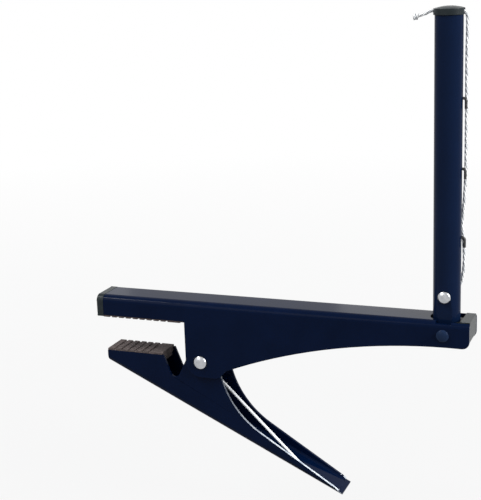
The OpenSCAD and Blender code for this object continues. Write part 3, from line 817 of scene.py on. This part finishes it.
def make_hooks():
    """Three wire hooks: a shank through the post's wall, a bend and a hanging end."""
    inner = POST_R - POST_WALL - HOOK_HEAD - HOOK_SLACK
    centre = Vector((HOOK_REACH - HOOK_BEND_R, 0, -HOOK_BEND_R))
    bend = [centre + HOOK_BEND_R * Vector((math.sin(a), 0, math.cos(a)))
            for a in (math.pi / 2 * i / 12 for i in range(13))]
    route = [(inner, 0, 0), *bend, (HOOK_REACH, 0, -HOOK_BEND_R - HOOK_DROP)]
    hooks = grown("net_hooks", hook_tree(), "hook_black", route_curve("hook_route", route),
                  smooth=50, Wire_radius=HOOK_R * MM, Head_thickness=HOOK_HEAD * MM,
                  Head_place=Vector((inner + HOOK_HEAD / 2, 0, 0)) * MM,
                  First=Vector((POST_X, 0, HOOK_HIGH)) * MM,
                  Step_down=Vector((0, 0, -HOOK_STEP)) * MM)
    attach(hooks, "root")
    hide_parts("upper_net_hook", "middle_net_hook", "lower_net_hook")


make_hooks()


# ---------------------------------------------------------------- torsion spring

WIRE_R = 0.75
COIL_R = 5.5
COIL_REAR = 2.8
COIL_FRONT = -5.55
LEVER_LEG_END = (59.0, -3.9, -71.97)
ARM_LEG_END = (45.0, COIL_FRONT, 9.25)
WHOLE_TURNS = 4
TURN_STEPS = 48
LEG_STEPS = 20


def leg_angle(end, sign):
    """Where round the coil the straight leg to an end leaves it, as a tangent."""
    x, z = end[0] - PIVOT[0], end[2] - PIVOT[1]
    return math.atan2(z, x) + sign * math.acos(COIL_R / math.hypot(x, z))


def make_spring():
    """The coil with its upper leg, and the lever's leg, which turns with the lever."""
    start = leg_angle(LEVER_LEG_END, -1)
    turn = math.tau * WHOLE_TURNS + start + math.tau - leg_angle(ARM_LEG_END, 1)
    steps = TURN_STEPS * (WHOLE_TURNS + 1)
    coil = [Vector((PIVOT[0] + COIL_R * math.cos(start - turn * i / steps),
                    COIL_REAR + (COIL_FRONT - COIL_REAR) * i / steps,
                    PIVOT[1] + COIL_R * math.sin(start - turn * i / steps)))
            for i in range(steps + 1)]
    upper_leg = [coil[-1].lerp(Vector(ARM_LEG_END), s / LEG_STEPS)
                 for s in range(1, LEG_STEPS + 1)]
    lower_leg = [Vector(LEVER_LEG_END).lerp(coil[0], s / LEG_STEPS)
                 for s in range(LEG_STEPS + 1)]
    wound = grown("spring_coil", WIRE, "spring_steel",
                  route_curve("coil_route", coil + upper_leg), smooth=60,
                  Radius=WIRE_R * MM, Sides=20)
    leg = grown("spring_lever_leg", WIRE, "spring_steel",
                route_curve("leg_route", lower_leg + coil[1:3]), smooth=60,
                Radius=WIRE_R * MM, Sides=20)
    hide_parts("torsion_spring")
    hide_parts("torsion_spring")
    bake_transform(wound)
    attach(leg, "lever")


make_spring()


# ---------------------------------------------------------------- pressed and moulded pieces

LEVER_OUTER = 8.0
LEVER_SHEET = 1.5
LEVER_TIP_X = 75.0
# The worn paint and its painted highlight start this far out and are full after this much more.
WEAR_AND_HIGHLIGHT_START_X = 14
WEAR_AND_HIGHLIGHT_RUN = 30
TIP_WEAR_AND_HIGHLIGHT = 0.8


def worn_and_highlit_edge(centre, normal):
    """Worn paint and a painted highlight on the top edge of the lever's front cheek, more so
    towards the tip, and on the tip end of its rear cheek.
    """
    if abs(normal.y) > 0.75:
        return 0
    front = LEVER_OUTER - LEVER_SHEET < -centre.y < LEVER_OUTER
    rear = LEVER_OUTER - LEVER_SHEET < centre.y < LEVER_OUTER
    if rear:
        return TIP_WEAR_AND_HIGHLIGHT * (centre.x > LEVER_TIP_X and normal.x > 0.6)
    return front * (normal.z > -0.2) * min(1, max(0, (centre.x - WEAR_AND_HIGHLIGHT_START_X) / WEAR_AND_HIGHLIGHT_RUN))


eased_copy("arm_channel", "pressed_arm", 0.22)
lever = eased_copy("jaw_lever", "pressed_lever", 0.22, "lever")
# The lever's upward edges take bare grey steel: wear and a painted highlight.
marked(lever.data, "wear_and_highlight", worn_and_highlit_edge)
eased_copy("arm_end_cap", "jaw_end_cap", 0.3)
eased_copy("arm_tail_plug", "tail_plug", 0.2)
eased_copy("post_cap", "grooved_cap", 0.2)
eased_copy("upper_jaw_pad", "upper_rubber", 0.12)
eased_copy("lower_jaw_pad", "lower_rubber", 0.12, "lever")
eased_copy("spring_sleeve", "sleeve", 0.08)
eased_copy("front_washer", "front_thin_washer", 0.05)
eased_copy("back_washer", "back_thin_washer", 0.05)
eased_copy("post_foot_dowel", "foot_dowel", 0.2)


# ---------------------------------------------------------------- floor and light

# In metres, as all places here are.
FLOOR_Z = -0.112
FLOOR_HALF = 4.0
# The floor keeps its shadow near the clamp and is plain white to the camera further off.
NEAR, FAR = 0.15, 1.2
NEAR_WHITE = 0.88


def background_share(tree, seen):
    """How much plain white a ray meets: seen for the camera's own, all of it in reflections."""
    rays = tree.nodes.new("ShaderNodeLightPath").outputs
    bounced = maths(tree, "MAXIMUM", rays["Is Glossy Ray"], rays["Is Transmission Ray"])
    return maths(tree, "ADD", maths(tree, "MULTIPLY", rays["Is Camera Ray"], seen), bounced)


def make_floor():
    """A pale floor that keeps a soft shadow."""
    material, tree, shader = new_material("pale_floor", Roughness=0.9, Specular_IOR_Level=0.2)
    speckle = object_noise(tree, 8, detail=2)
    colour = ramp(tree, speckle, ((0.3, (0.27, 0.27, 0.27)), (0.7, (0.29, 0.29, 0.29))))
    tree.links.new(colour, shader.inputs["Base Color"])
    white = add(tree, "ShaderNodeEmission", {"Color": (1, 1, 1, 1), "Strength": 1.0})
    place = add(tree, "ShaderNodeTexCoord").outputs["Object"]
    away = add(tree, "ShaderNodeVectorMath", {0: place}, operation="LENGTH").outputs["Value"]
    seen = add(tree, "ShaderNodeMapRange", {"Value": away, "From Min": NEAR, "From Max": FAR,
                                            "To Min": NEAR_WHITE, "To Max": 1.0}
               ).outputs["Result"]
    both = add(tree, "ShaderNodeMixShader", {
        0: background_share(tree, seen), 1: shader.outputs["BSDF"],
        2: white.outputs["Emission"]})
    tree.links.new(both.outputs["Shader"], tree.nodes["Material Output"].inputs["Surface"])
    half = FLOOR_HALF
    mesh = bpy.data.meshes.new("floor")
    mesh.from_pydata([(-half, -half, FLOOR_Z), (half, -half, FLOOR_Z), (half, half, FLOOR_Z),
                      (-half, half, FLOOR_Z)], [], [(0, 1, 2, 3)])
    mesh.materials.append(material)
    floor = placed("floor", mesh)


def make_world():
    """A white room to the camera; for light and reflections, brighter above than at the sides."""
    world = bpy.data.worlds.new("studio")
    world.use_nodes = True
    tree = world.node_tree
    background = tree.nodes["Background"]
    direction = tree.nodes.new("ShaderNodeTexCoord").outputs["Generated"]
    height = add(tree, "ShaderNodeSeparateXYZ", {"Vector": direction}).outputs["Z"]
    dome = ramp(tree, span(tree, height, 0.5, 1.0),
                ((0.45, (0.20, 0.22, 0.25)), (0.66, (0.15, 0.20, 0.27)), (1.0, (0.9, 0.9, 0.9))))
    share = background_share(tree, 1.0)
    tree.links.new(mixed(tree, share, dome, (1, 1, 1, 1)), background.inputs["Color"])
    bpy.context.scene.world = world


SOFTBOXES = (
    # name, place, aim, width, height, watts
    ("right softbox", (1.45, -0.2, 0.7), (0.08, 0, 0.02), 1.1, 1.1, 36),
    ("front softbox", (-0.8, -1.3, 0.9), (0.05, 0, 0.0), 1.2, 1.2, 8),
    ("low rear softbox", (0.17, 1.4, 0.44), (0.06, 0, 0.01), 1.05, 0.37, 0.9),
    ("rear left softbox", (-0.86, 1.26, 0.43), (-0.046, 0, 0.01), 0.30, 0.35, 0.17),
    ("overhead softbox", (-0.75, -0.42, 1.05), (-0.03, 0, 0.0), 0.5, 0.25, 10),
)


def add_lamp(name, place, aim, width, height, power):
    """A large soft box turned to its aim."""
    lamp = bpy.data.lights.new(name, "AREA")
    lamp.shape = "RECTANGLE"
    lamp.size = width
    lamp.size_y = height
    lamp.energy = power
    box = placed(name, lamp)
    place = Vector(place)
    box.matrix_world = Matrix.Translation(place) @ (
        (Vector(aim) - place).to_track_quat("-Z", "Y").to_matrix().to_4x4())


make_floor()
make_world()
for softbox in SOFTBOXES:
    add_lamp(*softbox)

bpy.context.scene.view_settings.view_transform = "Standard"
